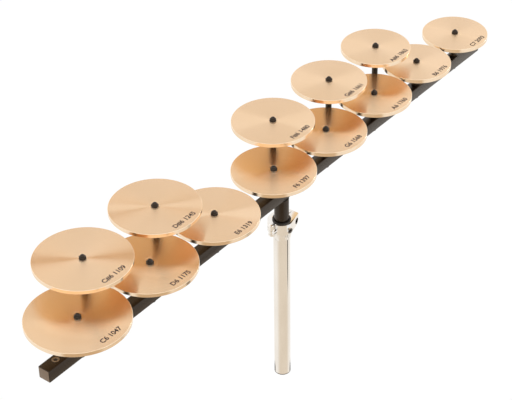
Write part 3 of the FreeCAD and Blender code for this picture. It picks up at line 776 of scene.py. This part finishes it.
# the studio: each entry is a ramp, from where to where, and from which level to which
studio = {"behind": (-0.75, 0.15, 0.75, 1.01), "high": (0.15, 0.5, 0, 1.01), "overhead": (0.2, 0.55, 0, 0.52),
          "overheadFront": (-0.2, 0.2, 1, 0), "bandSide": (0.12, 0.30, 0, 1), "bandBack": (0.2, 0.5, 0, 0.27),
          "tint": (1.0, 0.985, 0.97)}


def softStep(tree, value, low, high, start, end):
    node = addNode(tree, "ShaderNodeMapRange", {"Value": value, "From Min": low, "From Max": high,
                                               "To Min": start, "To Max": end},
                   interpolation_type="SMOOTHSTEP")
    return node.outputs["Result"]


def calculate(tree, operation, a, b):
    return addNode(tree, "ShaderNodeMath", {0: a, 1: b}, operation=operation).outputs[0]


def calculateVector(tree, operation, a, b=(0, 0, 0)):
    return addNode(tree, "ShaderNodeVectorMath", {0: a, 1: b}, operation=operation)


def makeFloor():
    # the camera sees plain white with a trace of the shadow; the metal sees cream, and beige in front
    deselectAll()
    bpy.ops.mesh.primitive_plane_add(size=stage["floorSize"], location=(0, 0, stage["floorZ"]))
    floor = rename(bpy.context.active_object, "paleFloor")
    material, tree, shader = startMaterial("paleFloor")
    shader.inputs["Base Color"].default_value = (*stage["floorColour"], 1)
    shader.inputs["Roughness"].default_value = 0.9
    place = addNode(tree, "ShaderNodeTexCoord").outputs["Object"]
    flat = calculateVector(tree, "MULTIPLY", place, (1, 1, 0)).outputs[0]
    reach = calculateVector(tree, "LENGTH", flat).outputs["Value"]
    way = calculateVector(tree, "NORMALIZE", flat).outputs[0]

    def towards(direction):
        return calculateVector(tree, "DOT_PRODUCT", way, direction).outputs["Value"]

    def ramp(value, name, start, end):
        return softStep(tree, value, *floorTone[name], start, end)

    sector = ramp(towards(floorTone["beigeWay"]), "beigeSector", 0, 1)
    tone = mixColour(tree, sector, floorTone["cream"], floorTone["beige"])
    # a dark patch behind the foot marks the tube's lower edge, a dark wedge on the right its narrow streak
    patch = calculate(tree, "MULTIPLY", ramp(towards(stage["back"]), "patchWay", 0, 1),
                      ramp(reach, "patchReach", 1, 0))
    widening = calculate(tree, "MULTIPLY", reach, floorTone["wedgeWidening"])
    widening = calculate(tree, "ADD", towards(floorTone["wedgeWay"]), widening)
    wedge = calculate(tree, "MULTIPLY", ramp(widening, "wedgeEdge", 0, 1), ramp(reach, "wedgeEnd", 1, 0))
    wedge = calculate(tree, "MULTIPLY", wedge, ramp(reach, "wedgeStart", 0, 1))
    tone = mixColour(tree, calculate(tree, "MAXIMUM", patch, wedge), tone, floorTone["dark"])
    # further out on the player's side, for the discs' rims: brown in the middle, white to left and right
    outer = calculate(tree, "MULTIPLY", ramp(towards(stage["back"]), "outerWay", 1, 0),
                      ramp(reach, "outerReach", 0, 1))
    spread = ramp(calculate(tree, "ABSOLUTE", towards(stage["side"]), 0.0), "outerSide", 0, 1)
    tone = mixColour(tree, outer, tone, mixColour(tree, spread, floorTone["brown"], (1, 1, 1)))
    rays = addNode(tree, "ShaderNodeLightPath")
    tone = mixColour(tree, rays.outputs["Is Camera Ray"], tone, (1, 1, 1))
    seen = calculate(tree, "MAXIMUM", rays.outputs["Is Camera Ray"], rays.outputs["Is Glossy Ray"])
    seen = calculate(tree, "MAXIMUM", seen, rays.outputs["Is Transmission Ray"])
    share = calculate(tree, "MULTIPLY", seen, 1 - stage["shadowShare"])
    glow = addNode(tree, "ShaderNodeEmission", {"Color": tone, "Strength": stage["white"]})
    mix = addNode(tree, "ShaderNodeMixShader", {0: share, 1: shader.outputs[0], 2: glow.outputs[0]})
    tree.links.new(mix.outputs[0], tree.nodes["Material Output"].inputs["Surface"])
    floor.data.materials.append(material)


def makeWorld():
    # white behind and overhead, dimmer behind the camera, a little brighter to either side of the backdrop
    world = bpy.data.worlds.new("studio")
    bpy.context.scene.world = world
    world.use_nodes = True
    tree = world.node_tree
    backdrop = tree.nodes["Background"]
    place = addNode(tree, "ShaderNodeTexCoord").outputs["Generated"]
    high = addNode(tree, "ShaderNodeSeparateXYZ", {"Vector": place}).outputs["Z"]
    back = calculateVector(tree, "DOT_PRODUCT", place, stage["back"]).outputs["Value"]
    side = calculateVector(tree, "DOT_PRODUCT", place, stage["side"]).outputs["Value"]
    side = calculate(tree, "ABSOLUTE", side, 0.0)

    def ramp(value, name):
        return softStep(tree, value, *studio[name])

    level = calculate(tree, "MAXIMUM", ramp(back, "behind"), ramp(high, "high"))
    above = calculate(tree, "MULTIPLY", ramp(high, "overhead"), ramp(back, "overheadFront"))
    band = calculate(tree, "MULTIPLY", ramp(side, "bandSide"), ramp(back, "bandBack"))
    level = calculate(tree, "ADD", calculate(tree, "ADD", level, above), band)
    rays = addNode(tree, "ShaderNodeLightPath")
    tone = mixColour(tree, rays.outputs["Is Camera Ray"], studio["tint"], (1, 1, 1))
    tree.links.new(tone, backdrop.inputs["Color"])
    level = mixColour(tree, rays.outputs["Is Camera Ray"], level, (1, 1, 1))
    tree.links.new(level, backdrop.inputs["Strength"])


panel = {"place": (3.6, -1.2, 1.6), "target": (0, 0, 0.35), "size": 0.5, "power": 10}
flag = {"place": (0.26, 0.55, 1.03), "target": (-0.372, 0.046, 0.43), "width": 1.3, "height": 0.09,
        "colour": (0.62, 0.40, 0.20)}


def addPanel(name):
    deselectAll()
    bpy.ops.object.light_add(type="AREA", location=panel["place"])
    lamp = bpy.context.active_object
    lamp.name = name
    lamp.data.shape = "RECTANGLE"
    lamp.data.size, lamp.data.size_y = panel["size"], panel["size"]
    lamp.data.energy = panel["power"]
    ahead = Vector(panel["target"]) - Vector(panel["place"])
    lamp.rotation_euler = ahead.to_track_quat("-Z", "Y").to_euler()


def addFlag(name):
    # a brown strip above the backdrop, out of the picture: the near discs pick it up as two dark fans
    deselectAll()
    bpy.ops.mesh.primitive_plane_add(size=1)
    strip = rename(bpy.context.active_object, name)
    ahead = (Vector(flag["target"]) - Vector(flag["place"])).normalized()
    across = Vector(stage["side"]).normalized()
    up = ahead.cross(across).normalized()
    turn = Matrix((across, up, ahead)).transposed().to_4x4()
    size = Matrix.Diagonal((flag["width"], flag["height"], 1, 1))
    strip.matrix_world = Matrix.Translation(flag["place"]) @ turn @ size
    material, tree, shader = startMaterial(name)
    shader.inputs["Base Color"].default_value = (*flag["colour"], 1)
    shader.inputs["Roughness"].default_value = 1.0
    strip.data.materials.append(material)
    strip.visible_camera = False
    strip.visible_shadow = False
    strip.visible_diffuse = False


makeFloor()
makeWorld()
addPanel("rightPanel")
addFlag("darkFlag")
print("stage ready")

# the camera stands on the player's side, low end near, and looks down on the discs
view = {"spot": (-1.6042, -1.2358, 1.8145), "lens": 118.98, "sensor": 36, "farClip": 50,
        "right": (0.61707, -0.78679, -0.01369), "down": (-0.47098, -0.35533, -0.80741)}
deselectAll()
bpy.ops.object.camera_add(location=view["spot"])
camera = bpy.context.active_object
camera.name = "photoCamera"
right, down = Vector(view["right"]).normalized(), Vector(view["down"]).normalized()
ahead = right.cross(down).normalized()
turn = Matrix((right, -down, -ahead)).transposed()
camera.matrix_world = Matrix.Translation(Vector(view["spot"])) @ turn.to_4x4()
camera.data.lens = view["lens"]
camera.data.sensor_width = view["sensor"]
camera.data.clip_end = view["farClip"]
bpy.context.scene.camera = camera
bpy.context.scene.view_settings.view_transform = "Standard"

print("scene ready")
